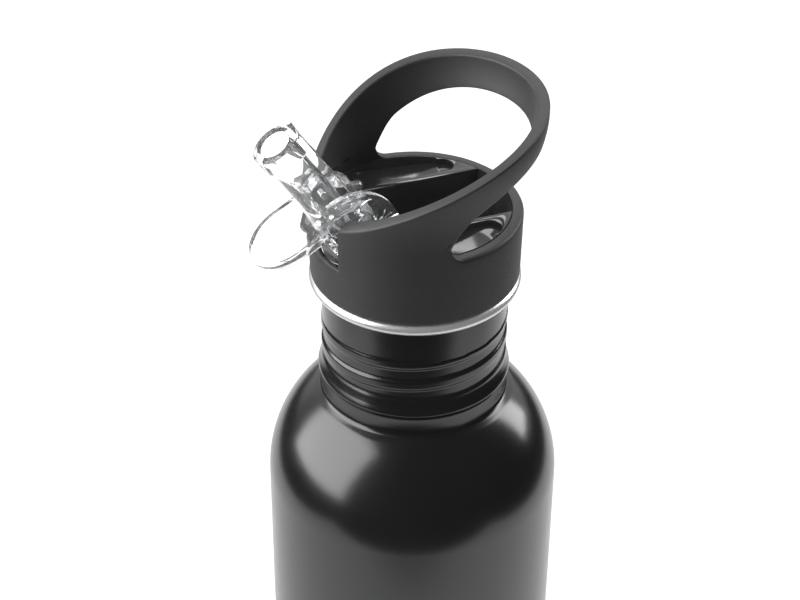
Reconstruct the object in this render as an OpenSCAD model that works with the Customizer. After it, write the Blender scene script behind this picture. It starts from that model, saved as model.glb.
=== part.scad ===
// Single-wall steel drinks bottle with a screw cap, a carry loop and a flip-up spout.
// +Z is up and the origin is the centre of the base, on the surface that the bottle stands on.
// The spout faces -Y. The bottle is the same on both sides of the plane X = 0, but for the thread.

/* [Bottle body] */
// Outside diameter of the straight body
body_d = 73; // [70:0.5:80]
// Thickness of the steel wall
steel_t = 0.6; // [0.5:0.05:0.9]
// Height from the base to the centre of the rolled lip
lip_z = 220; // [190:1:260]
// Rounding between the side and the base
base_round = 7; // [5:0.5:10]
// Inner diameter of the ring that the bottle stands on
foot_d = 54; // [44:1:58]
// Rise of the middle of the base
base_rise = 3.2; // [2:0.1:6]
// Radius of the shoulder's dome
shoulder_r = 33.2; // [30:0.2:36]

/* [Neck] */
// Outside diameter of the plain neck
neck_d = 45; // [43:0.1:47]
// Outside diameter of the flared band at the foot of the neck
band_d = 47.2; // [46:0.1:49.5]
// Height of the flared band
band_h = 4.6; // [3:0.1:6]
// Depth of the flared band's lower edge below the lip's centre
band_drop = 26.5; // [25.5:0.1:27.5]
// Depth at which the shoulder begins, below the lip's centre
waist_drop = 33.3; // [32.5:0.1:35]
// Diameter of the rolled lip's section
roll_d = 3; // [2.4:0.1:3.4]

/* [Screw thread] */
// Outside diameter over the ridges that the thread leaves on the neck
thread_d = 45.4; // [45.2:0.1:46.4]
// Height gained in one turn
pitch = 6.1; // [5:0.1:7]
// Turns of the groove rolled into the neck
groove_turns = 2; // [1.25:0.25:2]
// Depth of the groove below the ridges
groove_depth = 0.75; // [0.6:0.05:0.85]
// Height of the rolled groove
groove_h = 4; // [3:0.1:4.4]
// Turns of the ridge on the cap's plug
ridge_turns = 1.25; // [0.75:0.25:1.5]
// Gap between the cap's thread and the neck
thread_gap = 0.15; // [0.1:0.05:0.3]

/* [Cap shell] */
// Outside diameter of the cap at its top
cap_d = 50.8; // [50:0.1:54]
// Taper of the cap's side, from top to bottom, on the radius
cap_draft = 0.25; // [0:0.05:0.6]
// Height of the cap's rim above the lip's centre
rim_h = 18.5; // [16:0.1:22]
// Width of the rim
rim_w = 2.8; // [2.4:0.1:3.2]
// Rounding of the rim's outer edge
rim_round = 1; // [0.4:0.1:1.4]
// Thickness of the wall in front of the spout, under the notch
notch_wall = 1.4; // [1.2:0.1:2]
// Thickness of the skirt round the gasket
skirt_t = 1.1; // [0.8:0.1:1.4]

/* [Carry loop] */
// How far the loop flares out past the cap, on the radius
loop_flare = 4.7; // [2:0.1:7]
// Height above the rim at which the flare ends
loop_flare_h = 26.5; // [20:0.5:32]
// Thickness of the loop
loop_t = 2.9; // [2.4:0.1:3.2]
// Height of the loop's top edge above the rim, at the back
loop_back_h = 28.5; // [24:0.5:36]
// Height of the loop's top edge above the rim, at the front
loop_front_h = 4.4; // [3:0.1:7]
// Crown of the top edge above a straight line
loop_crown = 4.4; // [2:0.1:7]
// Height of the finger opening's upper edge above the rim, at the back
gap_back_h = 20.5; // [16:0.5:24]
// Place of the finger opening's front end along Y
gap_front_y = -1.4; // [-5:0.1:3]
// Rounding of the finger opening's front end
gap_round = 3.3; // [2:0.1:4]

/* [Trough] */
// Width of the trough and of the notch in front of it
trough_w = 20.4; // [19.6:0.1:22]
// Depth of the trough below the rim
trough_depth = 11.5; // [10.8:0.1:13]
// Depth of the front notch below the rim
notch_depth = 6.5; // [5.5:0.1:8]
// Width of the flat land beside the trough
land_w = 1.6; // [1.2:0.1:2.4]
// Depth of the side dishes at their edge
dish_step = 1.5; // [0.8:0.1:2]
// Extra depth of the side dishes at their middle
dish_bowl = 1.6; // [0.4:0.1:2]
// Rounding of the side dishes' back corners
dish_round = 3; // [2:0.1:4]
// Thickness of the inner moulding's walls
core_t = 1.8; // [1.4:0.1:2.2]

/* [Plug and gasket] */
// Length of the threaded plug below the lip's centre
plug_len = 20; // [14:0.5:24]
// Thickness of the plug's wall
plug_t = 1.8; // [1.4:0.1:2.4]
// Thickness of the gasket
gasket_t = 1.6; // [1:0.1:2]

/* [Spout] */
// Height of the hinge above the cap's rim
hinge_h = 1.5; // [1.1:0.1:2.5]
// Distance of the hinge in front of the axis
hinge_front = 18.5; // [18:0.1:19]
// Lean of the open tube from upright, in degrees
tube_lean = 33.4; // [25:0.1:40]
// Outside diameter of the tube
tube_d = 9.5; // [9:0.1:10.5]
// Diameter of the bore that the drink flows through
bore_d = 7.4; // [6.4:0.1:7.8]
// Length of the tube from the hinge to the mouth
tube_len = 27; // [22:0.5:32]
// Distance of the tube's axis in front of the hinge
tube_offset = 0.8; // [0:0.1:1.2]
// Outside diameter of the collar at the mouth
collar_d = 11.4; // [10.6:0.1:12.4]
// Length of the collar at the mouth
collar_len = 4.5; // [3:0.1:6]
// Diameter of the hinge barrel
barrel_d = 12.4; // [12:0.1:13]
// Radius of the round ear at the right end of the barrel
ear_r = 11; // [9:0.1:11.2]
// Thickness of the ear
ear_t = 1.5; // [1.2:0.1:1.8]
// Width of the raised rim round the ear
ear_rim = 1.2; // [0.8:0.1:1.8]
// Radius of the round boss on the ear
boss_r = 3.2; // [2:0.1:3.4]
// Gap between the spout and each side of the trough
spout_gap = 0.5; // [0.3:0.05:0.8]
// Droop of the thumb tab below level, in degrees
tab_droop = 31; // [20:1:36]
// Length of the thumb tab
tab_len = 20.6; // [16:0.1:24]
// Width of the thumb tab
tab_w = 19.2; // [16:0.1:19.4]
// Height of the rim round the thumb tab
tab_rim_h = 1.9; // [1.4:0.1:2.4]
// Diameter of the two hinge pins
pin_d = 3; // [2.4:0.1:3.2]

/* [Straw and vent] */
// Outside diameter of the straw
straw_d = 8; // [7:0.1:8.4]
// Thickness of the straw's wall
straw_t = 0.9; // [0.7:0.05:1.1]
// Clearance between the straw's end and the bottle's floor
straw_clear = 7; // [4:0.5:20]
// Distance of the vent valve behind the axis
vent_back = 9; // [6:0.5:13]
// Diameter of the vent hole
vent_d = 2.6; // [2:0.1:3]

/* [Hidden] */
$fn = 96;
eps = 0.01;
seat_gap = 0.05;            // between pieces that touch within one body
rest_gap = 0.1;             // between the gasket and the lip it closes on
far = 80;                   // longer than any cut has to be

body_r = body_d / 2;
foot_r = min(foot_d / 2, body_r - base_round - 2);
neck_r = neck_d / 2;
band_r = band_d / 2;
waist_r = neck_r + 0.2;
roll_r = roll_d / 2;
roll_mid_r = neck_r + roll_r;
shoulder_mid_r = body_r - shoulder_r;
waist_z = lip_z - waist_drop;
band_z = lip_z - band_drop;
// The dome meets the waist at waist_z, which sets the height of the dome's centre.
dome_r_at_waist = waist_r + 1.5;
dome_mid_z = waist_z - sqrt(pow(shoulder_r, 2) - pow(dome_r_at_waist - shoulder_mid_r, 2));
waist_angle = asin((waist_z - dome_mid_z) / shoulder_r);

thread_r = thread_d / 2;
groove_r = thread_r - groove_depth;
plug_r = groove_r - steel_t - thread_gap;
ridge_r = neck_r - steel_t - thread_gap;
thread_top = -9.65;         // top of the first groove, from the lip's centre
thread_shoulder = 0.75;     // how far below that the ridges' full diameter starts
end_wall = 5;               // degrees of wall left at each end of the groove
thread_turn = 158 - 360 * groove_turns;  // direction in which the groove starts, at its foot
ridge_turn = 220;           // how far round from there the plug's ridge starts
lug_step = 36;              // degrees from one length of the plug's ridge to the next
lug_span = 29;              // degrees that each length covers

cap_r = cap_d / 2;
core_r = cap_r - rim_w;
trough_half = trough_w / 2;
floor_h = rim_h - trough_depth;
hinge_z = rim_h + hinge_h;  // the hinge's height above the lip's centre
notch_h = rim_h - notch_depth;
gasket_z = roll_r + rest_gap;
flange_h = gasket_z + gasket_t;
hinge_y = -hinge_front;
barrel_r = barrel_d / 2;
barrel_half = trough_half - spout_gap;
saddle_half = barrel_half - ear_t - 0.8;
saddle_gap = 0.25;          // between the barrel and the saddle under it
saddle_top = hinge_z - barrel_r + 0.5;
saddle_back = 11;           // how far the saddle reaches behind the hinge
ear_from = 18;              // the ear's full radius runs between these angles above level
ear_to = 128;
ear_low_r = min(8.2, ear_r - 1.5);  // radius of the rest of the ear
ear_sink = 0.5;             // depth of the ear's face below its rim and boss
boss_turn = 56;             // the boss's place, from level
cheek_len = 6.4;
cheek_top = hinge_z + 3.4;
cheek_foot = hinge_z - 3.6;
pin_deep = 3;               // length of a pin in the barrel and in its cheek
pin_gap = 0.05;             // running clearance round the pins
port_d = 4.2;               // drink's way through the barrel, the seal, the saddle and the nipple
port_neck = port_d - 0.5;   // the slanting stretch in the saddle is narrower
seal_t = 1.6;
seal_w = 1.3;
nipple_r = straw_d / 2 - straw_t;
nipple_len = 12;
straw_y = straw_d / 2 + 0.6 - (plug_r - plug_t);
seat_h = hinge_z - barrel_r - seal_t;
port_run = norm([straw_y - hinge_y, seat_h - floor_h]);
port_slant = atan2(straw_y - hinge_y, seat_h - floor_h);

// Points on an arc, from one angle to another.
function arc(x, y, r, from, to, n) =
    [for (i = [0:n]) let (a = from + (to - from) * i / n) [x + r * cos(a), y + r * sin(a)]];

// Points on a shallow arc between two points, with its middle raised by crown.
function bow(p, q, crown, n) =
    [for (i = [0:n]) let (t = i / n, up = 4 * crown * t * (1 - t), d = (q - p) / norm(q - p))
        p + (q - p) * t + up * [-d[1], d[0]]];

// The same points in the opposite order.
function reversed(points) = [for (i = [len(points) - 1:-1:0]) points[i]];

// Outline of the bottle's skin, moved in by the amount given.
function skin(in) = concat(
    [[foot_r, in], [body_r - base_round, in]],
    arc(body_r - base_round, base_round, base_round - in, -90, 0, 12),
    arc(shoulder_mid_r, dome_mid_z, shoulder_r - in, 0, waist_angle, 24),
    [[waist_r - in, waist_z + 2.4], [waist_r - in, band_z - 1.4],
     [band_r - 0.3 - in, band_z - 0.5], [band_r - in, band_z + 0.4],
     [thread_r - in, band_z + band_h], [thread_r - in, lip_z + thread_top - thread_shoulder],
     [neck_r - in, lip_z + thread_top - thread_shoulder + 0.4], [neck_r - in, lip_z]]);

// Radius of the loop's outside at a height above the lip's centre.
function loop_r(h) =
    let (t = min(1, max(0, (h - rim_h) / loop_flare_h)))
    cap_r + loop_flare * (1 - cos(180 * pow(t, 1.25))) / 2;

// A section swept along a helix; the section's points are [radius, height].
module helix(section, turns, turn0, z0) {
    steps = ceil(turns * 36);
    n = len(section);
    points = [for (i = [0:steps]) let (t = i / steps, a = turn0 + 360 * turns * t)
        each [for (p = section) [p[0] * cos(a), p[0] * sin(a), z0 + pitch * turns * t + p[1]]]];
    sides = [for (i = [0:steps - 1]) for (k = [0:n - 1])
        let (a = i * n + k, b = i * n + (k + 1) % n)
        each [[a, a + n, b], [b, a + n, b + n]]];
    ends = [[for (k = [0:n - 1]) k], [for (k = [n - 1:-1:0]) steps * n + k]];
    polyhedron(points, concat(sides, ends), convexity = 8);
}

// Trapezium for a thread, from radius r0, where it is wide, to radius r1, where it is narrow.
function tooth(r0, r1, wide, narrow) =
    [[r0, -wide / 2], [r1, -narrow / 2], [r1, narrow / 2], [r0, wide / 2]];

groove_z0 = lip_z + thread_top - groove_h / 2 - pitch * groove_turns;
ridge_z0 = groove_z0 + pitch / 2 + pitch * ridge_turn / 360;

// Keeps what lies above the flared band.
module above_band() {
    intersection() {
        children();
        translate([0, 0, band_z + band_h]) cylinder(r = far, h = far);
    }
}

// Steel shell: straight body, dome, waist, flared band and threaded neck.
module bottle_shell() {
    color("#1b1d20") difference() {
        union() {
            rotate_extrude() polygon(concat(skin(0), reversed(skin(steel_t))));
            above_band() helix(tooth(neck_r - 0.15, groove_r - steel_t, groove_h + 0.6, groove_h - 0.2),
                groove_turns, thread_turn, groove_z0);
        }
        above_band() helix(tooth(thread_r + 1, groove_r, groove_h + 1.2, groove_h - 0.6),
            groove_turns - end_wall / 180, thread_turn + end_wall, groove_z0 + pitch * end_wall / 360);
    }
}

// Bright lip, rolled outwards and down at the mouth.
module rolled_lip() {
    color("#d8d9da") translate([0, 0, lip_z]) rotate_extrude() translate([roll_mid_r, 0]) difference() {
        circle(r = roll_r);
        circle(r = roll_r - steel_t);
        translate([-roll_r, -roll_r * 0.75]) square([roll_r, roll_r * 0.4]);
    }
}

// Pressed plate welded inside the foot, raised in the middle.
module base_plate() {
    rim_r = foot_r + 2;
    rise_r = foot_r - 3;
    dish_r = rise_r - base_rise;
    color("#b9bbbd") rotate_extrude() polygon([
        [rim_r, steel_t], [rise_r, steel_t], [dish_r, base_rise], [0, base_rise],
        [0, base_rise + steel_t], [dish_r + 0.2, base_rise + steel_t],
        [rise_r + 0.2, steel_t * 2], [rim_r, steel_t * 2]]);
}

// Side view of what stays of the flared ring: the loop with its finger opening taken out.
module loop_side() {
    front = [-sqrt(pow(cap_r, 2) - pow(trough_half, 2)), rim_h + loop_front_h];
    back = [cap_r + loop_flare - 0.5, rim_h + loop_back_h];
    tip_y = gap_front_y + gap_round;
    gap_back = [cap_r + loop_flare + 1, rim_h + gap_back_h];
    difference() {
        polygon(concat(bow(front, back, loop_crown, 24),
            [[cap_r + loop_flare + 2, back[1]], [cap_r + loop_flare + 2, rim_h - 3], [-far / 2, rim_h - 3],
             [-far / 2, front[1]]]));
        polygon(concat(
            arc(tip_y, rim_h + gap_round, gap_round, 270, 175, 12),
            arc(tip_y + 2.6, rim_h + gap_round + 4.7, gap_round, 151, 130, 4),
            bow([tip_y - 0.1, rim_h + 9.6], gap_back, 2.5, 16),
            [[gap_back[0] + 9, gap_back[1]], [gap_back[0] + 9, rim_h]]));
    }
}

// Flared ring cut to the loop's side view.
module loop() {
    top = rim_h + loop_back_h + 3;
    low = rim_h - 2;
    heights = [for (i = [0:20]) low + (top - low) * i / 20];
    intersection() {
        rotate_extrude() polygon(concat(
            [for (h = heights) [loop_r(h), h]],
            [for (i = [20:-1:0]) [loop_r(heights[i]) - (heights[i] < rim_h ? rim_w : loop_t), heights[i]]]));
        rotate([90, 0, 90]) linear_extrude(far, center = true) loop_side();
    }
}

// Blocks beside the trough that carry the hinge pins, inside the loop's front ends.
module cheeks(grow = 0) {
    for (s = [-1, 1]) intersection() {
        translate([s > 0 ? trough_half - grow * 2 : -far, hinge_y - cheek_len / 2 - grow, cheek_foot - grow])
            cube([far - trough_half, cheek_len + grow * 2, cheek_top - cheek_foot + grow * 2]);
        cylinder(r = core_r + 0.5, h = far);
    }
}

// Matt outer moulding: skirt, rim and carry loop in one.
module cap_shell() {
    low_r = cap_r - cap_draft;
    foot_h = roll_r + 0.2;
    color("#2b2c2e") translate([0, 0, lip_z]) difference() {
        union() {
            rotate_extrude() polygon(concat(
                [[low_r - skirt_t, foot_h], [low_r - 0.3, foot_h], [low_r, foot_h + 0.3]],
                arc(cap_r - rim_round, rim_h - rim_round, rim_round, 0, 90, 8),
                [[core_r, rim_h], [core_r, flange_h], [low_r - skirt_t, flange_h]]));
            loop();
            cheeks();
        }
        // Front notch
        translate([-trough_half, -far, notch_h]) cube([trough_w, far - 15, far]);
        // Room behind the notch's wall for the spout's ear to swing down
        intersection() {
            translate([-trough_half, -far, floor_h]) cube([trough_w, far, rim_h]);
            cylinder(r = cap_r - notch_wall, h = rim_h);
        }
        // Trough, where it runs into the back of the rim
        intersection() {
            translate([-trough_half, 0, floor_h]) cube([trough_w, far, rim_h]);
            cylinder(r = core_r + 0.8, h = rim_h + eps);
        }
        // Blind holes for the hinge pins
        for (s = [-1, 1]) translate([s * (trough_half - 1), hinge_y, hinge_z])
            rotate([0, s * 90, 0]) cylinder(d = pin_d, h = pin_deep + 1);
    }
}

// Crescent beside the trough, for one dish; x is positive.
module dish_outline(r) {
    side = trough_half + land_w;
    // The rounded corner's middle is dish_round away from both the land's line and the rim's circle.
    corner_x = side + dish_round;
    corner_y = sqrt(pow(r - dish_round, 2) - pow(corner_x, 2));
    front = hinge_front - cheek_len / 2 - 1.2;
    difference() {
        union() {
            intersection() {
                circle(r = r);
                translate([side, -corner_y]) square([dish_round * 2, corner_y * 2]);
            }
            intersection() {
                circle(r = r);
                translate([side, -far]) square([far, far + corner_y]);
                polygon([[0, 0], 3 * [corner_x, corner_y], [far, 0], [far, -far], [0, -far]]);
            }
            translate([corner_x, corner_y]) circle(r = dish_round);
        }
        translate([0, -far - front]) square([far, far]);
    }
}

// Bowl-bottomed recess on one side of the trough.
module dish(side) {
    bowl_r = 34;
    mid = [(trough_half + core_r) / 2 + 1, 2];
    mirror([side < 0 ? 1 : 0, 0, 0]) {
        translate([0, 0, rim_h - dish_step]) linear_extrude(dish_step * 2) dish_outline(core_r - 0.2);
        intersection() {
            translate([mid[0], mid[1], rim_h - dish_step - dish_bowl + bowl_r]) sphere(r = bowl_r);
            translate([0, 0, rim_h - dish_step - dish_bowl]) linear_extrude(dish_bowl + eps)
                dish_outline(core_r - 0.2);
        }
    }
}

// Puts its children in the open tube's frame: Z along the bore, Y towards the tube's back.
module along_tube() {
    translate([0, hinge_y, hinge_z]) rotate([tube_lean, 0, 0]) translate([0, -tube_offset, 0]) children();
}

// Barrel-shaped space round the hinge.
module barrel_space(r, half) {
    translate([0, hinge_y, hinge_z]) rotate([0, 90, 0]) cylinder(r = r, h = half * 2, center = true);
}

// Ridge round the plug, in short lengths that each follow the thread's slope.
module plug_ridge() {
    slope = atan(pitch / (2 * PI * ridge_r));
    for (i = [0:floor(360 * ridge_turns / lug_step) - 1])
        translate([0, 0, ridge_z0 - lip_z + pitch * lug_step * i / 360])
            rotate(thread_turn + ridge_turn + lug_step * i) rotate([slope, 0, 0]) rotate(-lug_span / 2)
                rotate_extrude(angle = lug_span) polygon(tooth(plug_r - 0.8, ridge_r, 1.7, 0.7));
}

// Glossy inner moulding: trough, dishes, saddle under the spout, straw nipple and threaded plug.
module cap_core() {
    inner_r = plug_r - plug_t;
    pocket_x = trough_half + core_t;
    pocket_h = rim_h - dish_step - dish_bowl - core_t;
    color("#17181a") translate([0, 0, lip_z]) difference() {
        union() {
            difference() {
                union() {
                    translate([0, 0, flange_h]) cylinder(r = core_r - seat_gap, h = rim_h - flange_h);
                    translate([0, 0, -plug_len]) cylinder(r = plug_r, h = plug_len + flange_h + eps);
                    plug_ridge();
                }
                translate([-trough_half, -far / 2, floor_h]) cube([trough_w, far, far]);
                dish(1);
                dish(-1);
                // Hollow underside: the plug's bore, and a pocket below each dish
                translate([0, 0, -far]) cylinder(r = inner_r, h = far + floor_h - core_t);
                for (s = [-1, 1]) intersection() {
                    translate([s > 0 ? pocket_x : -far - pocket_x, -far / 2, -eps])
                        cube([far, far, pocket_h]);
                    cylinder(r = inner_r, h = far);
                }
                cheeks(seat_gap);
            }
            // Saddle under the barrel
            intersection() {
                translate([-saddle_half, hinge_y - 6, floor_h - eps])
                    cube([saddle_half * 2, saddle_back + 6, saddle_top - floor_h]);
                cylinder(r = core_r - seat_gap, h = rim_h);
            }
            // Nipple that the straw pushes on
            translate([0, straw_y, floor_h - core_t - nipple_len])
                cylinder(r = nipple_r, h = nipple_len + core_t);
        }
        barrel_space(barrel_r + saddle_gap, saddle_half + 1);
        // Seat of the seal, and the port that slants back from it to the nipple
        translate([0, hinge_y, seat_h]) {
            cylinder(d = port_d + 2 * seal_w, h = barrel_r);
            rotate([port_slant, 0, 0]) translate([0, 0, -port_run - 0.3])
                cylinder(d = port_neck, h = port_run + 0.8);
        }
        translate([0, straw_y, -far]) cylinder(d = port_d, h = far + floor_h);
        // Vent hole
        translate([0, vent_back, 0]) cylinder(d = vent_d, h = floor_h + eps);
    }
}

// Flat silicone ring that the cap presses on the lip.
module cap_gasket() {
    out_r = cap_r - cap_draft - skirt_t - 0.1;
    color("#8d9296") translate([0, 0, lip_z + gasket_z]) difference() {
        cylinder(r = out_r, h = gasket_t - seat_gap);
        translate([0, 0, -1]) cylinder(r = plug_r + seat_gap, h = gasket_t + 2);
    }
}

// Slice of a disc between two angles; the arms that bound it are longer than the disc.
module pie(r, from, to) {
    mid = (from + to) / 2;
    intersection() {
        circle(r = r);
        polygon([[0, 0], 3 * r * [cos(from), sin(from)], 6 * r * [cos(mid), sin(mid)],
                 3 * r * [cos(to), sin(to)]]);
    }
}

// Round-ended outline of the thumb tab; it points to -Y.
module tab_outline(in) {
    tip = tab_len - tab_w / 2;
    translate([0, -tip]) circle(d = tab_w - 2 * in);
    translate([-tab_w / 2 + in, -tip]) square([tab_w - 2 * in, tip]);
}

// Round ear with a raised rim and boss on its outer face; it lies flat, with the hinge at the origin.
module ear() {
    boss_mid = ear_r - ear_rim - boss_r + 0.4;
    difference() {
        linear_extrude(ear_t) {
            circle(r = ear_low_r);
            pie(ear_r, ear_from, ear_to);
        }
        translate([0, 0, ear_t - ear_sink]) linear_extrude(ear_t) difference() {
            pie(ear_r - ear_rim, ear_from + 8, ear_to - 8);
            circle(r = barrel_r - 2);
            translate(boss_mid * [cos(boss_turn), sin(boss_turn)]) circle(r = boss_r);
        }
    }
}

// Clear moulding: tube with its collar and flat back, barrel, ear and thumb tab.
module spout() {
    spine_half = 3.6;
    spine_back = 5.8;
    tab_top = 5.4;
    tab_root = -2;
    peg = 2.6;
    color([0.9, 0.95, 0.97, 0.5]) translate([0, 0, lip_z]) difference() {
        union() {
            barrel_space(barrel_r, barrel_half);
            along_tube() {
                cylinder(d = tube_d, h = tube_len);
                translate([0, 0, tube_len - collar_len]) cylinder(d = collar_d, h = collar_len);
                translate([-spine_half, 0, 0]) cube([spine_half * 2, spine_back, tube_len - 0.6]);
            }
            translate([0, hinge_y, hinge_z]) {
                translate([barrel_half - ear_t, 0, 0]) rotate([90, 0, 90]) ear();
                // Gussets from the tab up to the ends of the barrel
                for (s = [-1, 1]) translate([s > 0 ? barrel_half - ear_t : -barrel_half, 0, 0])
                    rotate([90, 0, 90]) linear_extrude(ear_t)
                        polygon([[-8, 1.5], [-8, 4.6], [-0.5, 7.8], [0, 1.5]]);
                // Stop peg on the left end of the barrel
                translate([-barrel_half, 5.4, -0.4]) cube([ear_t + 0.6, peg, peg]);
                // Thumb tab
                rotate([tab_droop, 0, 0]) translate([0, tab_root, tab_top - tab_rim_h]) difference() {
                    linear_extrude(tab_rim_h) tab_outline(0);
                    translate([0, 0, 1.1]) linear_extrude(tab_rim_h) tab_outline(1.3);
                }
            }
        }
        along_tube() translate([0, 0, -1]) cylinder(d = bore_d, h = tube_len + 2);
        translate([0, hinge_y, hinge_z - far]) cylinder(d = port_d, h = far);
        for (s = [-1, 1]) translate([s * (barrel_half - pin_deep), hinge_y, hinge_z])
            rotate([0, s * 90, 0]) cylinder(r = pin_d / 2 + pin_gap, h = pin_deep + 1);
    }
}

// Steel pin, pressed in its cheek and running in the barrel; side is 1 or -1 along X.
module hinge_pin(side) {
    start = barrel_half - pin_deep + 0.2;
    color("#c4c6c8") translate([side * start, hinge_y, lip_z + hinge_z]) rotate([0, side * 90, 0])
        cylinder(d = pin_d, h = trough_half + pin_deep - start);
}

module hinge_pin_right() {
    hinge_pin(1);
}

module hinge_pin_left() {
    hinge_pin(-1);
}

// Silicone ring in the saddle, hollowed to the barrel's shape.
module spout_seal() {
    color("#a9b0b5") translate([0, 0, lip_z]) difference() {
        translate([0, hinge_y, seat_h + seat_gap]) difference() {
            cylinder(d = port_d + 2 * seal_w - 2 * seat_gap, h = seal_t + 0.8);
            translate([0, 0, -1]) cylinder(d = port_d, h = seal_t + 3);
        }
        barrel_space(barrel_r + 0.12, barrel_half);
    }
}

// Straw, pushed on the nipple and cut at a slant near the bottle's floor.
module straw() {
    top = lip_z + floor_h - core_t;
    low = base_rise + steel_t + straw_clear;
    color([0.85, 0.87, 0.88, 0.6]) difference() {
        translate([0, straw_y, low]) cylinder(d = straw_d, h = top - low - seat_gap);
        translate([0, straw_y, low - 1]) cylinder(r = nipple_r + seat_gap, h = top - low + 2);
        translate([0, straw_y, low]) rotate([35, 0, 0]) translate([0, 0, -far / 2]) cube(far, center = true);
    }
}

// Silicone umbrella valve that lets air in under the trough.
module vent_valve() {
    cap = 3.2;
    under = floor_h - core_t;
    color("#232426") translate([0, vent_back, lip_z]) rotate_extrude() polygon([
        [0, under - 1.6], [cap, under - 0.9], [cap, under - seat_gap],
        [vent_d / 2 - seat_gap, under - seat_gap],
        [vent_d / 2 - seat_gap, floor_h + seat_gap], [vent_d / 2 + 0.6, floor_h + seat_gap],
        [vent_d / 2 + 0.2, floor_h + 1.1], [0, floor_h + 1.4]]);
}

bottle_shell();
rolled_lip();
base_plate();
cap_shell();
cap_core();
cap_gasket();
spout();
hinge_pin_right();
hinge_pin_left();
spout_seal();
straw();
vent_valve();
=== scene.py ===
import math
import bmesh
import bpy
from mathutils import Matrix, Vector


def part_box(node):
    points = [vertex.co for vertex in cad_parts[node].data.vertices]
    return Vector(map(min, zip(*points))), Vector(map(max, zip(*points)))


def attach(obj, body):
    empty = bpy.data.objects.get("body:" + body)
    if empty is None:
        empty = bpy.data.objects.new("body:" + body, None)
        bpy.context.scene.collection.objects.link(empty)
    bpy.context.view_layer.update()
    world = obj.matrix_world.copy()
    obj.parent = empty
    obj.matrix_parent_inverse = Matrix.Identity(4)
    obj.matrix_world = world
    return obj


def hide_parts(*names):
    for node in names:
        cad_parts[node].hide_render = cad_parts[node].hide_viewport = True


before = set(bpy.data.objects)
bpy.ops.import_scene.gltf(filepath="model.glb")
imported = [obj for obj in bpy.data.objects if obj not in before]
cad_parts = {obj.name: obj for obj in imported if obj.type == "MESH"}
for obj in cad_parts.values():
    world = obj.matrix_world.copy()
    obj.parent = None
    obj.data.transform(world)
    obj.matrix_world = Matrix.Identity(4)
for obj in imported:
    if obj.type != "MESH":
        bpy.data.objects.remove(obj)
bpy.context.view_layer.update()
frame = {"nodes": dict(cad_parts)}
nodes = frame["nodes"]
mm = 0.001
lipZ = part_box("bottle_shell")[1].z
print("frame loaded, lip at", round(lipZ / mm, 1), "mm")


# small helpers for meshes

def newPiece(name, bm, body, material, replaced=(), angle=35):
    # a finished bmesh becomes an object at the origin that rides on its body
    mesh = bpy.data.meshes.new(name)
    bm.to_mesh(mesh)
    bm.free()
    piece = bpy.data.objects.new(name, mesh)
    bpy.context.scene.collection.objects.link(piece)
    for m in (material if isinstance(material, (list, tuple)) else [material]):
        mesh.materials.append(m)
    smoothByAngle(mesh, angle)
    if replaced:
        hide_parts(*replaced)
    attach(piece, body)
    return piece


def smoothByAngle(mesh, angle):
    bm = bmesh.new()
    bm.from_mesh(mesh)
    for f in bm.faces:
        f.smooth = True
    for e in bm.edges:
        e.smooth = len(e.link_faces) == 2 and e.calc_face_angle(0) < math.radians(angle)
    bm.to_mesh(mesh)
    bm.free()


def spinProfile(points, steps, axisPoint=(0, 0, 0)):
    # points are (radius, height) in millimetres, closed into a ring; spun a full turn about Z
    bm = bmesh.new()
    ring = [bm.verts.new((r * mm, 0, z * mm)) for r, z in points]
    edges = [bm.edges.new((ring[i], ring[(i + 1) % len(ring)])) for i in range(len(ring))]
    bmesh.ops.spin(bm, geom=ring + edges, cent=axisPoint, axis=(0, 0, 1), angle=2 * math.pi,
                   steps=steps, use_merge=True)
    bmesh.ops.remove_doubles(bm, verts=bm.verts, dist=1e-7)
    bmesh.ops.recalc_face_normals(bm, faces=bm.faces)
    return bm


def smoothStep(a, b, x):
    t = min(1, max(0, (x - a) / (b - a)))
    return t * t * (3 - 2 * t)


def rows(start, end, count):
    return [start + (end - start) * i / count for i in range(count + 1)]


# small helpers for materials

def newMaterial(name):
    material = bpy.data.materials.new(name)
    material.use_nodes = True
    return material, material.node_tree.nodes, material.node_tree.links, \
        material.node_tree.nodes["Principled BSDF"]


def objectNoise(nodes, links, scale, detail=3, roughness=0.5, stretch=(1, 1, 1)):
    coordinates = nodes.new("ShaderNodeTexCoord")
    mapping = nodes.new("ShaderNodeMapping")
    mapping.inputs["Scale"].default_value = stretch
    noise = nodes.new("ShaderNodeTexNoise")
    noise.inputs["Scale"].default_value = scale
    noise.inputs["Detail"].default_value = detail
    noise.inputs["Roughness"].default_value = roughness
    links.new(coordinates.outputs["Object"], mapping.inputs["Vector"])
    links.new(mapping.outputs["Vector"], noise.inputs["Vector"])
    return noise.outputs["Fac"]


def toRange(nodes, links, value, low, high, fromLow=0.3, fromHigh=0.7):
    node = nodes.new("ShaderNodeMapRange")
    node.clamp = True
    node.inputs["From Min"].default_value = fromLow
    node.inputs["From Max"].default_value = fromHigh
    node.inputs["To Min"].default_value = low
    node.inputs["To Max"].default_value = high
    links.new(value, node.inputs["Value"])
    return node.outputs["Result"]


def addBump(nodes, links, shader, height, strength, distance):
    bump = nodes.new("ShaderNodeBump")
    bump.inputs["Strength"].default_value = strength
    bump.inputs["Distance"].default_value = distance
    links.new(height, bump.inputs["Height"])
    links.new(bump.outputs["Normal"], shader.inputs["Normal"])
    return bump


def mixColour(nodes, links, factor, first, second):
    ramp = nodes.new("ShaderNodeValToRGB")
    ramp.color_ramp.elements[0].color = (*first, 1)
    ramp.color_ramp.elements[1].color = (*second, 1)
    ramp.color_ramp.elements[0].position = 0.35
    ramp.color_ramp.elements[1].position = 0.65
    links.new(factor, ramp.inputs["Fac"])
    return ramp.outputs["Color"]


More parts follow.
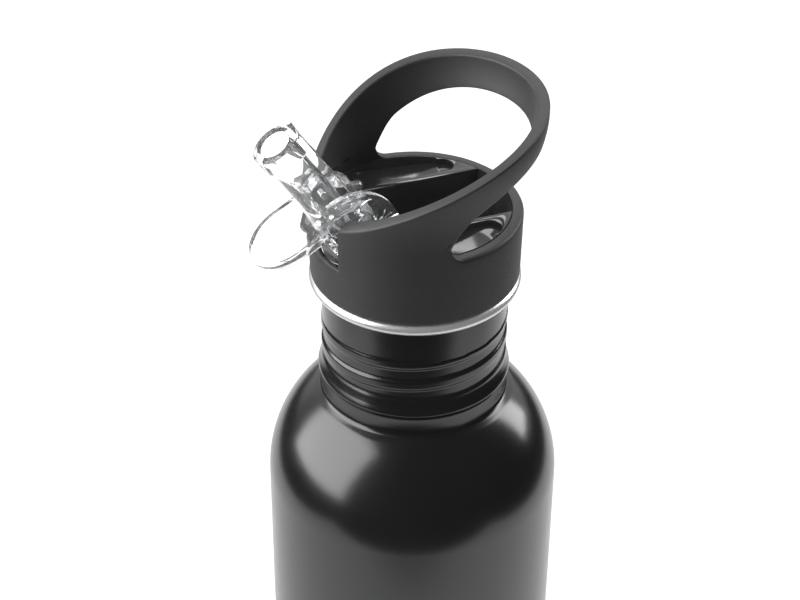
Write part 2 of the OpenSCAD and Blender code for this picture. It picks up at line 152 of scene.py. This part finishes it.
def makeBlackPaint():
    # semi-gloss powder coat: near black, faint orange peel
    material, nodes, links, shader = newMaterial("blackPaint")
    peel = objectNoise(nodes, links, 900, 2)
    cloud = objectNoise(nodes, links, 35, 3)
    links.new(mixColour(nodes, links, cloud, (0.0138, 0.0142, 0.0154), (0.0158, 0.0163, 0.0176)),
              shader.inputs["Base Color"])
    links.new(toRange(nodes, links, cloud, 0.2, 0.25), shader.inputs["Roughness"])
    shader.inputs["Specular IOR Level"].default_value = 0.6
    addBump(nodes, links, shader, peel, 0.12, 0.00008)
    return material


def makeSteel(name, colour, low, high, stretch, scale=60, strength=0.12, metallic=1):
    material, nodes, links, shader = newMaterial(name)
    grain = objectNoise(nodes, links, scale, 4, 0.6, stretch)
    shader.inputs["Metallic"].default_value = metallic
    darker = tuple(c * 0.86 for c in colour)
    links.new(mixColour(nodes, links, grain, darker, colour), shader.inputs["Base Color"])
    links.new(toRange(nodes, links, grain, low, high), shader.inputs["Roughness"])
    addBump(nodes, links, shader, grain, strength, 0.00004)
    return material


def makeCapPlastic():
    # matt moulded polypropylene with a fine spark texture
    material, nodes, links, shader = newMaterial("capPlastic")
    spark = objectNoise(nodes, links, 2600, 3, 0.65)
    cloud = objectNoise(nodes, links, 60, 2)
    links.new(mixColour(nodes, links, cloud, (0.0165, 0.0171, 0.018), (0.0205, 0.0211, 0.0222)),
              shader.inputs["Base Color"])
    links.new(toRange(nodes, links, spark, 0.5, 0.66), shader.inputs["Roughness"])
    shader.inputs["Specular IOR Level"].default_value = 0.62
    addBump(nodes, links, shader, spark, 0.35, 0.00006)
    return material


def makeCoreGloss():
    material, nodes, links, shader = newMaterial("coreGloss")
    flow = objectNoise(nodes, links, 90, 2)
    links.new(mixColour(nodes, links, flow, (0.026, 0.0266, 0.028), (0.031, 0.0316, 0.033)),
              shader.inputs["Base Color"])
    links.new(toRange(nodes, links, flow, 0.09, 0.13), shader.inputs["Roughness"])
    addBump(nodes, links, shader, flow, 0.05, 0.0001)
    return material


def makeClear(name, colour, roughness, ripple, clearness):
    material, nodes, links, shader = newMaterial(name)
    flow = objectNoise(nodes, links, 130, 2)
    shader.inputs["Base Color"].default_value = (*colour, 1)
    shader.inputs["Transmission Weight"].default_value = clearness
    shader.inputs["IOR"].default_value = 1.32
    links.new(toRange(nodes, links, flow, roughness * 0.6, roughness * 1.4), shader.inputs["Roughness"])
    addBump(nodes, links, shader, flow, 0.1, ripple)
    return material


def makeSilicone(name, first, second):
    material, nodes, links, shader = newMaterial(name)
    cloud = objectNoise(nodes, links, 300, 3)
    links.new(mixColour(nodes, links, cloud, first, second), shader.inputs["Base Color"])
    links.new(toRange(nodes, links, cloud, 0.38, 0.52), shader.inputs["Roughness"])
    addBump(nodes, links, shader, cloud, 0.1, 0.00005)
    return material


blackPaint = makeBlackPaint()
insideSteel = makeSteel("insideSteel", (0.58, 0.57, 0.56), 0.26, 0.4, (1, 1, 12))
lipSteel = makeSteel("lipSteel", (0.84, 0.83, 0.82), 0.26, 0.36, (1, 1, 30), 40, 0.06, 0.55)
baseSteel = makeSteel("baseSteel", (0.6, 0.6, 0.6), 0.25, 0.42, (1, 14, 1))
pinSteel = makeSteel("pinSteel", (0.7, 0.7, 0.71), 0.2, 0.3, (12, 1, 1))
capPlastic = makeCapPlastic()
coreGloss = makeCoreGloss()
clearPlastic = makeClear("clearPlastic", (0.985, 0.99, 0.995), 0.02, 0.00003, 0.96)
strawPlastic = makeClear("strawPlastic", (0.9, 0.93, 0.94), 0.25, 0.0001, 0.6)
silicone = makeSilicone("silicone", (0.42, 0.44, 0.46), (0.5, 0.52, 0.54))
darkSilicone = makeSilicone("darkSilicone", (0.017, 0.0175, 0.0185), (0.022, 0.0225, 0.0235))
print("materials made")


# bottle body

body = {
    "radius": 36.5, "wall": 0.6, "baseRound": 7, "footRadius": 27,
    "neckRadius": 22.5, "waistRadius": 22.7, "waistDrop": 33.3, "shoulderRadius": 33.2,
    "bandRadius": 23.6, "bandDrop": 26.5, "bandTop": 21.9, "steps": 224,
    # thread rolled in the neck: ridges stand out of it and grooves sink in
    "pitch": 6.1, "turns": 2, "grooveEnd": 158, "topGroove": 11.65,
    "grooveRadius": 22.2, "ridgeRadius": 22.72,
}


def shoulderCentre():
    reach = body["waistRadius"] + 1.5 - (body["radius"] - body["shoulderRadius"])
    drop = math.sqrt(body["shoulderRadius"] ** 2 - reach ** 2)
    return body["radius"] - body["shoulderRadius"], lipZ / mm - body["waistDrop"] - drop, \
        math.atan2(drop, reach)


def bodyProfile(inward, fine):
    lip = lipZ / mm
    cx, cz, top = shoulderCentre()
    big = body["radius"] - body["baseRound"]
    out = [(body["footRadius"], inward), (big, inward)]
    for a in rows(-90, 0, 14)[1:]:
        out.append((big + (body["baseRound"] - inward) * math.cos(math.radians(a)),
                    body["baseRound"] + (body["baseRound"] - inward) * math.sin(math.radians(a))))
    out += [(body["radius"] - inward, z) for z in rows(body["baseRound"], cz, 10)[1:]]
    for a in rows(0, top, 28 if fine else 20)[1:]:
        out.append((cx + (body["shoulderRadius"] - inward) * math.cos(a),
                    cz + (body["shoulderRadius"] - inward) * math.sin(a)))
    waist = lip - body["waistDrop"]
    out += [(body["waistRadius"] + 0.75 - inward, waist + 0.25), (body["waistRadius"] + 0.3 - inward, waist + 0.7),
            (body["waistRadius"] + 0.05 - inward, waist + 1.5), (body["waistRadius"] - inward, waist + 2.6)]
    band = lip - body["bandDrop"]
    out += [(body["waistRadius"] - inward, band - 1.5), (body["waistRadius"] + 0.12 - inward, band - 0.9),
            (body["bandRadius"] - 0.35 - inward, band - 0.25), (body["bandRadius"] - 0.06 - inward, band + 0.1),
            (body["bandRadius"] - inward, band + 0.5), (body["bandRadius"] - 0.12 - inward, band + 1.1)]
    low, high = band + 1.5, lip - 7
    for z in rows(low, high, 62 if fine else 20)[1:]:
        out.append((neckRadiusAt(z) - inward, z))
    out.append((body["neckRadius"] - inward, lip - 3))
    out.append((body["neckRadius"] - inward, lip))
    return out


def neckRadiusAt(z):
    # neck without its thread: flared band below, plain above
    bandTop = lipZ / mm - body["bandTop"]
    band = lipZ / mm - body["bandDrop"] + 0.5
    t = min(1, max(0, (z - band) / (bandTop - band)))
    return body["bandRadius"] + (body["neckRadius"] - body["bandRadius"]) * (1 - (1 - t) ** 1.35)


def threadOffset(angle, z):
    # how far the rolled thread moves the neck's wall, at an angle in degrees and a height
    lip = lipZ / mm
    turned = body["grooveEnd"] - angle
    top = lip - body["topGroove"] - body["pitch"] * turned / 360
    k = (top - z) / body["pitch"]
    count = math.floor(k + 0.5)
    wave = abs(k - count)                       # 0 in a groove's middle, 0.5 on a ridge's
    turnsDown = turned / 360 + count
    fadeStart = smoothStep(-0.02, 0.05, turnsDown)
    fadeEnd = 1 - smoothStep(body["turns"] - 0.12, body["turns"], turnsDown)
    groove = (1 - smoothStep(0.2, 0.33, wave)) * fadeStart * fadeEnd if count >= 0 else 0
    ridge = smoothStep(0.24, 0.37, wave)
    above = 1 - smoothStep(0.16, 0.3, -0.5 - k) if k < -0.5 else 1
    below = smoothStep(lip - body["bandTop"] - 1, lip - body["bandTop"] + 0.6, z)
    inThread = smoothStep(-0.06, 0.06, turnsDown + (0.5 if k < 0 else 0)) if k > -1 else 0
    rise = (body["ridgeRadius"] - body["neckRadius"]) * ridge * above * inThread
    sink = (body["grooveRadius"] - body["neckRadius"]) * groove
    return (rise + sink) * below


def makeBody():
    outer = bodyProfile(0, True)
    inner = bodyProfile(body["wall"], False)
    bm = spinProfile(outer + inner[::-1], body["steps"])
    for v in bm.verts:
        z = v.co.z / mm
        radius = math.hypot(v.co.x, v.co.y) / mm
        if lipZ / mm - 26 < z < lipZ / mm - 6 and radius > 15:
            angle = math.degrees(math.atan2(v.co.y, v.co.x))
            if angle > body["grooveEnd"]:
                angle -= 360
            move = threadOffset(angle, z)
            v.co.x *= (radius + move) / radius
            v.co.y *= (radius + move) / radius
    cx, cz = shoulderCentre()[:2]
    for f in bm.faces:
        c = f.calc_center_median()
        away = Vector((c.x, c.y, 0)).normalized()
        inside = f.normal.dot(away) < -0.05 and c.z > 2 * mm
        if c.z / mm > cz and c.z / mm < lipZ / mm - body["waistDrop"]:
            reach = Vector((math.hypot(c.x, c.y) / mm - cx, c.z / mm - cz)).length
            inside = reach < body["shoulderRadius"] - 0.3
        f.material_index = 1 if inside or (f.normal.z > 0.3 and c.z < 2 * mm) else 0
    return newPiece("bottleBody", bm, "bottle", [blackPaint, insideSteel],
                    ["bottle_shell"], 50)


makeBody()
print("bottle body made")


# rolled lip

lip = {"radius": 24, "tube": 1.5, "steps": 256, "sides": 28}


def makeLip():
    bm = bmesh.new()
    circle = bmesh.ops.create_circle(bm, segments=lip["sides"], radius=lip["tube"] * mm)["verts"]
    bmesh.ops.rotate(bm, verts=circle, cent=(0, 0, 0), matrix=Matrix.Rotation(math.pi / 2, 3, "X"))
    bmesh.ops.translate(bm, verts=circle, vec=(lip["radius"] * mm, 0, lipZ))
    bmesh.ops.spin(bm, geom=bm.verts[:] + bm.edges[:], cent=(0, 0, 0), axis=(0, 0, 1), angle=2 * math.pi,
                   steps=lip["steps"], use_merge=True)
    bmesh.ops.remove_doubles(bm, verts=bm.verts, dist=1e-7)
    bmesh.ops.recalc_face_normals(bm, faces=bm.faces)
    return newPiece("lipRing", bm, "bottle", lipSteel, ["rolled_lip"], 60)


makeLip()
print("rolled lip made")


# cap shell with its carry loop

cap = {
    "bottomH": 1.7, "skirtRadius": 25.15, "rimRadius": 25.4, "rimH": 18.5, "rimInner": 22.6, "rimRound": 1.0,
    "loopFlare": 4.7, "flareH": 26.5, "loopThick": 2.9,
    "notchHalf": 10.2, "notchH": 12.0, "notchWall": 1.4, "troughH": 7.0,
    "roomEnd": (25.2, 26.8),    # the wall beside the notch thickens between these angles from the front
    "topFront": (-23.27, 22.9), "topBack": (29.6, 47.0), "topCrown": 4.4,
    "gapTipY": -1.4, "gapRound": 3.3, "gapStart": (1.8, 28.1), "gapBack": (31.1, 39.0), "gapCrown": 2.5,
    "edge": 0.42,
}


def bowHeight(start, end, crown, y):
    # height at y of a shallow arc between two side-view points
    dx, dz = end[0] - start[0], end[1] - start[1]
    length = math.hypot(dx, dz)
    t = (y - start[0]) / dx
    for _ in range(4):
        up = 4 * crown * t * (1 - t)
        t = (y - start[0] + up * dz / length) / dx
    up = 4 * crown * t * (1 - t)
    return start[1] + dz * t + up * dx / length


def loopTop(y):
    return bowHeight(cap["topFront"], cap["topBack"], cap["topCrown"], y)


def gapLow(y):
    tipY, r = cap["gapTipY"] + cap["gapRound"], cap["gapRound"]
    if y >= tipY:
        return cap["rimH"]
    if y <= cap["gapTipY"]:
        return frontSeam(y)
    return cap["rimH"] + r - math.sqrt(max(0, r * r - (tipY - y) ** 2))


def gapHigh(y):
    tip, mid = cap["gapTipY"], cap["rimH"] + cap["gapRound"]
    if y <= tip:
        return frontSeam(y)
    corner = 3.2
    line = mid + 0.3 + (y - tip) * 2.0 - 0.3 * math.exp(-(y - tip) / 0.05)
    arc = bowHeight(cap["gapStart"], cap["gapBack"], cap["gapCrown"], max(y, -0.5))
    # soft lower envelope of the slanting line and the long arc
    h = max(0, 1 - abs(line - arc) / corner)
    return min(line, arc) - h * h * corner * 0.25


def frontSeam(y):
    # where the loop's sheet meets the wall's sheet, in front of the finger opening
    t = (y + 23.3) / (cap["gapTipY"] + 23.3)
    return 20.7 + (cap["rimH"] + cap["gapRound"] - 20.7) * max(0, min(1, t))


def outerRadius(h):
    if h <= cap["rimH"]:
        t = (h - cap["bottomH"]) / (cap["rimH"] - cap["bottomH"])
        return cap["skirtRadius"] + (cap["rimRadius"] - cap["skirtRadius"]) * max(0, t)
    t = min(1, (h - cap["rimH"]) / cap["flareH"])
    return cap["rimRadius"] + cap["loopFlare"] * (1 - math.cos(math.pi * t ** 1.25)) / 2


def rimFall(h, top):
    # how far the rounded edge falls in, close under the wall's own top
    into = min(1, max(0, h - (top - cap["rimRound"])) / cap["rimRound"])
    return cap["rimRound"] * (1 - math.sqrt(max(0, 1 - into * into)))


def columnAngles():
    # angles from the front, in degrees: even steps, with close ones where the finger opening starts
    first = math.degrees(math.asin(cap["notchHalf"] / cap["rimRadius"]))
    r = cap["rimRadius"] + 0.12
    tips = [math.degrees(math.acos(-(cap["gapTipY"] + cap["gapRound"] * (1 - math.cos(math.radians(a)))) / r))
            for a in rows(0, 90, 11)]
    before = rows(first, tips[0] - 1.2, 30)
    after = rows(tips[-1] + 1.0, 180, 44)
    return before + [tips[0] - 0.5] + tips + after


def innerAngle(a):
    first = math.degrees(math.asin(cap["notchHalf"] / cap["rimRadius"]))
    firstIn = math.degrees(math.asin(cap["notchHalf"] / cap["rimInner"]))
    return a + (firstIn - first) * (1 - smoothStep(first, 60, a)) - 0.37 * math.exp(-((a - 86.85) / 12) ** 2)


def sheetPoint(part, a, v, layer):
    # part 0 is the skirt below the notch, 1 the wall above it, 2 the loop; layer 0 is outside
    angle = math.radians(a if layer == 0 or part == 0 else innerAngle(a))
    h = top = cap["rimH"]
    opened = smoothStep(0, 4, -math.cos(math.radians(a)) * cap["rimRadius"] - cap["gapTipY"])
    for _ in range(8):
        if layer == 0:
            r = outerRadius(h) - (opened * rimFall(h, top) if part == 1 else 0)
        elif part < 2:
            r = cap["rimInner"] + 1.45 * (1 - smoothStep(3.2, 3.9, h)) if h < cap["rimH"] else cap["rimInner"]
            if part == 0 and h > cap["troughH"]:
                r += (cap["rimRadius"] - cap["notchWall"] - cap["rimInner"]) * (1 - smoothStep(*cap["roomEnd"], a))
        else:
            r = outerRadius(h) - cap["loopThick"]
            if h < cap["rimH"] + 3:
                r = cap["rimInner"] + (r - cap["rimInner"]) * smoothStep(cap["rimH"], cap["rimH"] + 3, h)
        y = -(outerRadius(h) if layer == 0 else r) * math.cos(angle)
        if part == 0:
            h = cap["bottomH"] + (cap["notchH"] - cap["bottomH"]) * v
        elif part == 1:
            top = gapLow(y)
            h = cap["notchH"] + (top - cap["notchH"]) * v
        else:
            h = gapHigh(y) + (loopTop(y) - gapHigh(y)) * v
    return Vector((r * math.sin(angle) * mm, -r * math.cos(angle) * mm, lipZ + h * mm))


def makeCapShell():
    angles = columnAngles()
    first = angles[0]
    skirtAngles = rows(0, first, 12)[:-1] + angles
    wallRows = [0, 0.22, 0.45, 0.68, 0.846, 0.89, 0.93, 0.96, 0.982, 0.995, 1]
    skirtRows = [0, 0.09, 0.16, 0.3, 0.5, 0.52, 0.75, 1]
    loopRows = [0, 0.12, 0.25, 0.4, 0.55, 0.7, 0.82, 0.91, 1]
    bm = bmesh.new()
    partLayer = bm.verts.layers.float.new("part")
    angleLayer = bm.verts.layers.float.new("angle")
    rowLayer = bm.verts.layers.float.new("row")
    for part, columns, steps in ((0, skirtAngles, skirtRows), (1, angles, wallRows), (2, angles, loopRows)):
        grid = bmesh.ops.create_grid(bm, x_segments=len(columns) - 1, y_segments=len(steps) - 1, size=0.5)["verts"]
        for v in grid:
            v[angleLayer] = columns[round((v.co.x + 0.5) * (len(columns) - 1))]
            v[rowLayer] = steps[round((v.co.y + 0.5) * (len(steps) - 1))]
            v[partLayer] = part
        for v in grid:
            v.co = sheetPoint(part, v[angleLayer], v[rowLayer], 0)
    bmesh.ops.remove_doubles(bm, verts=bm.verts, dist=0.00001)
    bmesh.ops.recalc_face_normals(bm, faces=bm.faces)
    outside = set(bm.verts)
    bmesh.ops.extrude_face_region(bm, geom=bm.faces[:], use_keep_orig=True)
    inside = [v for v in bm.verts if v not in outside]
    for v in inside:
        v.co = sheetPoint(round(v[partLayer]), v[angleLayer], v[rowLayer], 1)
    # the front and back middles lie on the mirror plane and stay open there
    middle = [f for f in bm.faces if all(abs(v.co.x) < 1e-6 for v in f.verts)]
    bmesh.ops.delete(bm, geom=middle, context="FACES_ONLY")
    bmesh.ops.mirror(bm, geom=bm.verts[:] + bm.edges[:] + bm.faces[:], axis="X", merge_dist=0.00001)
    bmesh.ops.remove_doubles(bm, verts=bm.verts, dist=0.000005)
    bmesh.ops.delete(bm, geom=[e for e in bm.edges if e.is_wire], context="EDGES")
    bmesh.ops.recalc_face_normals(bm, faces=bm.faces)
    sharp = [e for e in bm.edges if len(e.link_faces) == 2 and e.calc_face_angle(0) > math.radians(40)]
    bmesh.ops.bevel(bm, geom=sharp, offset=cap["edge"] * mm, offset_type="OFFSET", segments=3, profile=0.5,
                    affect="EDGES", clamp_overlap=False, material=-1)
    return newPiece("capShell", bm, "cap", capPlastic, ["cap_shell"], 40)


makeCapShell()
print("cap shell made")

# blocks inside the loop's front ends that hold the hinge pins
cheek = {"gapHalf": 10.2, "radius": 23.1, "front": -20.5, "back": -15.3, "footH": 16.4, "topH": 23.4, "edge": 0.3}


def makeHingeCheeks():
    depths = rows(cheek["front"], cheek["back"], 8)
    bm = bmesh.new()
    grid = bmesh.ops.create_grid(bm, x_segments=1, y_segments=len(depths) - 1, size=0.5)["verts"]
    for v in grid:
        y = depths[round((v.co.y + 0.5) * (len(depths) - 1))]
        x = cheek["gapHalf"] if v.co.x < 0 else math.sqrt(cheek["radius"] ** 2 - y ** 2)
        v.co = (x * mm, y * mm, lipZ + cheek["footH"] * mm)
    lower = set(bm.verts)
    bmesh.ops.extrude_face_region(bm, geom=bm.faces[:], use_keep_orig=True)
    for v in bm.verts:
        if v not in lower:
            v.co.z = lipZ + cheek["topH"] * mm
    bmesh.ops.recalc_face_normals(bm, faces=bm.faces)
    bmesh.ops.mirror(bm, geom=bm.verts[:] + bm.edges[:] + bm.faces[:], axis="X", merge_dist=0)
    bmesh.ops.recalc_face_normals(bm, faces=bm.faces)
    sharp = [e for e in bm.edges if len(e.link_faces) == 2 and e.calc_face_angle(0) > math.radians(30)]
    bmesh.ops.bevel(bm, geom=sharp, offset=cheek["edge"] * mm, offset_type="OFFSET", segments=3, profile=0.5,
                    affect="EDGES", clamp_overlap=True, material=-1)
    return newPiece("hingeCheeks", bm, "cap", capPlastic)


makeHingeCheeks()
print("hinge cheeks made")


# pieces kept from the construction, given their finish and softened edges

def softened(node, name, body, material, width, segments=2, angle=30):
    bm = bmesh.new()
    bm.from_mesh(nodes[node].data)
    bmesh.ops.remove_doubles(bm, verts=bm.verts, dist=0.000002)
    bmesh.ops.dissolve_limit(bm, angle_limit=math.radians(1.2), verts=bm.verts, edges=bm.edges,
                             use_dissolve_boundaries=False)
    sharp = [e for e in bm.edges if len(e.link_faces) == 2 and e.calc_face_angle(0) > math.radians(angle)]
    bmesh.ops.bevel(bm, geom=sharp, offset=width * mm, offset_type="OFFSET", segments=segments, profile=0.5,
                    affect="EDGES", clamp_overlap=True, material=-1)
    return newPiece(name, bm, body, material, [node], angle)


def dressNode(node, material):
    mesh = nodes[node].data
    mesh.materials.clear()
    mesh.materials.append(material)


softened("cap_core", "capCore", "cap", coreGloss, 0.2)
softened("spout", "spoutBody", "spout", clearPlastic, 0.25)
dressNode("base_plate", baseSteel)
dressNode("cap_gasket", silicone)
dressNode("spout_seal", silicone)
dressNode("vent_valve", darkSilicone)
dressNode("straw", strawPlastic)
dressNode("hinge_pin_right", pinSteel)
dressNode("hinge_pin_left", pinSteel)
print("construction pieces dressed")


# camera, light and floor

view = {"place": (0.3613, -0.1460, 0.4852), "forward": (-0.7613, 0.2997, -0.5750), "roll": 0.492, "lens": 88.4}


def makeCamera():
    data = bpy.data.cameras.new("camera")
    data.lens = view["lens"]
    data.sensor_width = 36
    camera = bpy.data.objects.new("camera", data)
    bpy.context.scene.collection.objects.link(camera)
    forward = Vector(view["forward"]).normalized()
    right = forward.cross(Vector((0, 0, 1))).normalized()
    up = right.cross(forward)
    roll = math.radians(view["roll"])
    right, up = right * math.cos(roll) + up * math.sin(roll), up * math.cos(roll) - right * math.sin(roll)
    turn = Matrix((right, up, -forward)).transposed().to_4x4()
    camera.matrix_world = Matrix.Translation(Vector(view["place"])) @ turn
    bpy.context.scene.camera = camera


light = {
    "cameraSide": -22, "dark": (118, 140),      # mirrored surroundings are dark towards the camera, in degrees
    "ambient": 0.5, "darkLevel": 0.012, "floorGlow": 0.62,
    "sheetFront": 0.215, "sheetSide": 0.345,    # edges of the pale sheet that shiny surfaces mirror
    # softboxes: direction, elevation, distance, width, height, radiance
    "boxes": {"leftBox": (-103, 24, 1.0, 1.22, 1.1, 6.4), "rightBox": (95, 22, 1.1, 0.36, 0.8, 7.5),
              "backBox": (158, 44, 1.1, 0.34, 0.4, 5.0)},
    "top": (-75, 66, 1.3, 0.8, 0.8, 3.2),
}


def makeSoftbox(name, azimuth, elevation, distance, width, height, radiance, mirroredOnly):
    data = bpy.data.lights.new(name, "AREA")
    data.shape = "RECTANGLE"
    data.size, data.size_y = width, height
    data.energy = radiance * math.pi * width * height
    lamp = bpy.data.objects.new(name, data)
    a, e = math.radians(azimuth), math.radians(elevation)
    away = Vector((math.cos(e) * math.cos(a), math.cos(e) * math.sin(a), math.sin(e)))
    lamp.location = Vector((0, 0, 0.2)) + away * distance
    lamp.rotation_euler = away.to_track_quat("Z", "Y").to_euler()
    lamp.visible_diffuse = not mirroredOnly
    lamp.visible_glossy = mirroredOnly
    lamp.visible_camera = False
    bpy.context.scene.collection.objects.link(lamp)


def mathNode(nodes, links, operation, first, second):
    node = nodes.new("ShaderNodeMath")
    node.operation = operation
    for slot, value in ((0, first), (1, second)):
        if isinstance(value, (int, float)):
            node.inputs[slot].default_value = value
        else:
            links.new(value, node.inputs[slot])
    return node.outputs[0]


def makeWorld():
    # white where the camera and the clear pieces look; for mirrored rays white with a dark camera side
    world = bpy.data.worlds.new("studio")
    bpy.context.scene.world = world
    world.use_nodes = True
    nodes, links = world.node_tree.nodes, world.node_tree.links
    nodes.clear()
    output = nodes.new("ShaderNodeOutputWorld")
    path = nodes.new("ShaderNodeLightPath")
    direction = nodes.new("ShaderNodeTexCoord")
    aim = nodes.new("ShaderNodeVectorMath")
    aim.operation = "MULTIPLY"
    aim.inputs[1].default_value = (1, 1, 0)
    level = nodes.new("ShaderNodeVectorMath")
    level.operation = "NORMALIZE"
    dot = nodes.new("ShaderNodeVectorMath")
    dot.operation = "DOT_PRODUCT"
    a = math.radians(light["cameraSide"])
    dot.inputs[1].default_value = (math.cos(a), math.sin(a), 0)
    links.new(direction.outputs["Generated"], aim.inputs[0])
    links.new(aim.outputs[0], level.inputs[0])
    links.new(level.outputs[0], dot.inputs[0])
    low, high = [math.cos(math.radians(d)) for d in light["dark"][::-1]]
    side = toRange(nodes, links, dot.outputs["Value"], 1, light["darkLevel"], low, high)
    mirrored = mathNode(nodes, links, "MULTIPLY", side, path.outputs["Is Glossy Ray"])
    seen = mathNode(nodes, links, "MAXIMUM", path.outputs["Is Camera Ray"], path.outputs["Transmission Depth"])
    seen = mathNode(nodes, links, "MINIMUM", seen, 1)
    other = mathNode(nodes, links, "SUBTRACT", 1, mathNode(nodes, links, "MAXIMUM", seen,
                                                           path.outputs["Is Glossy Ray"]))
    ambient = mathNode(nodes, links, "MULTIPLY", other, light["ambient"])
    strength = mathNode(nodes, links, "ADD", mathNode(nodes, links, "MAXIMUM", seen, mirrored), ambient)
    sky = nodes.new("ShaderNodeBackground")
    sky.inputs["Color"].default_value = (1, 1, 1, 1)
    links.new(strength, sky.inputs["Strength"])
    links.new(sky.outputs[0], output.inputs["Surface"])


def makeFloor():
    # plain pale floor; in mirrored rays only a round sheet of it round the bottle stays pale
    bm = bmesh.new()
    bmesh.ops.create_grid(bm, x_segments=1, y_segments=1, size=3)
    mesh = bpy.data.meshes.new("floor")
    bm.to_mesh(mesh)
    bm.free()
    floor = bpy.data.objects.new("floor", mesh)
    floor.location.z = -0.0002
    bpy.context.scene.collection.objects.link(floor)
    material, nodes, links, shader = newMaterial("floorPaper")
    grain = objectNoise(nodes, links, 400, 2)
    links.new(mixColour(nodes, links, grain, (0.8, 0.8, 0.8), (0.83, 0.83, 0.83)), shader.inputs["Base Color"])
    shader.inputs["Roughness"].default_value = 0.9
    shader.inputs["Specular IOR Level"].default_value = 0
    path = nodes.new("ShaderNodeLightPath")
    seen = mathNode(nodes, links, "MAXIMUM", path.outputs["Is Camera Ray"], path.outputs["Transmission Depth"])
    seen = mathNode(nodes, links, "MAXIMUM", mathNode(nodes, links, "MINIMUM", seen, 1),
                    path.outputs["Is Glossy Ray"])
    shader.inputs["Emission Color"].default_value = (1, 1, 1, 1)
    links.new(mathNode(nodes, links, "MULTIPLY", seen, light["floorGlow"]), shader.inputs["Emission Strength"])
    coordinates = nodes.new("ShaderNodeTexCoord")
    turned = nodes.new("ShaderNodeVectorRotate")
    turned.rotation_type = "Z_AXIS"
    turned.inputs["Angle"].default_value = -math.radians(light["cameraSide"])
    split = nodes.new("ShaderNodeSeparateXYZ")
    links.new(coordinates.outputs["Object"], turned.inputs["Vector"])
    links.new(turned.outputs[0], split.inputs[0])
    front, side = light["sheetFront"], light["sheetSide"]
    ahead = toRange(nodes, links, split.outputs["X"], 0, 1, front - 0.01, front + 0.01)
    beside = toRange(nodes, links, mathNode(nodes, links, "ABSOLUTE", split.outputs["Y"], 0), 0, 1,
                     side - 0.02, side + 0.02)
    mirrored = mathNode(nodes, links, "MULTIPLY", path.outputs["Is Glossy Ray"],
                        mathNode(nodes, links, "LESS_THAN", path.outputs["Transmission Depth"], 0.5))
    hidden = mathNode(nodes, links, "MULTIPLY", mathNode(nodes, links, "MAXIMUM", ahead, beside), mirrored)
    dark = nodes.new("ShaderNodeBsdfDiffuse")
    dark.inputs["Color"].default_value = (0.01, 0.01, 0.01, 1)
    mix = nodes.new("ShaderNodeMixShader")
    links.new(hidden, mix.inputs["Fac"])
    links.new(shader.outputs[0], mix.inputs[1])
    links.new(dark.outputs[0], mix.inputs[2])
    links.new(mix.outputs[0], nodes["Material Output"].inputs["Surface"])
    mesh.materials.append(material)


makeCamera()
makeWorld()
makeFloor()
for name, box in light["boxes"].items():
    makeSoftbox(name, *box, mirroredOnly=True)
makeSoftbox("topBox", *light["top"], mirroredOnly=False)
print("camera and light set")

bpy.context.scene.view_settings.view_transform = "Standard"
